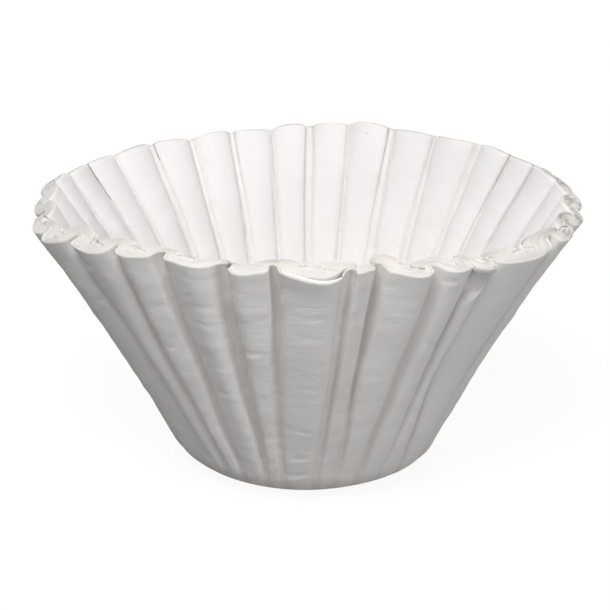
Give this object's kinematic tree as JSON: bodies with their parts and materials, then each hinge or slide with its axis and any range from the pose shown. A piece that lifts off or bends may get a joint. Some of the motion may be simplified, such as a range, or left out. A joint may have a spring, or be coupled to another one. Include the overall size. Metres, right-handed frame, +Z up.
{
  "type": "paper coffee filter",
  "caption": "Fluted basket coffee filters of white crepe paper, nested and pressed into one cup with a flat base, for holding ground coffee in a brew basket.",
  "frame": {"origin": "centre of the flat base, on the surface that the filters stand on", "axes": "+Z up through the open mouth; -Y towards the front, where the wall stands steeper; +X to the right seen from the front"},
  "size_m": [0.162, 0.1528, 0.086],
  "materials": {
    "crepe_paper": "soft matt white crepe paper with fine wrinkles"
  },
  "bodies": {
    "root": {"nested_filters": "crepe_paper"}
  },
  "joints": []
}
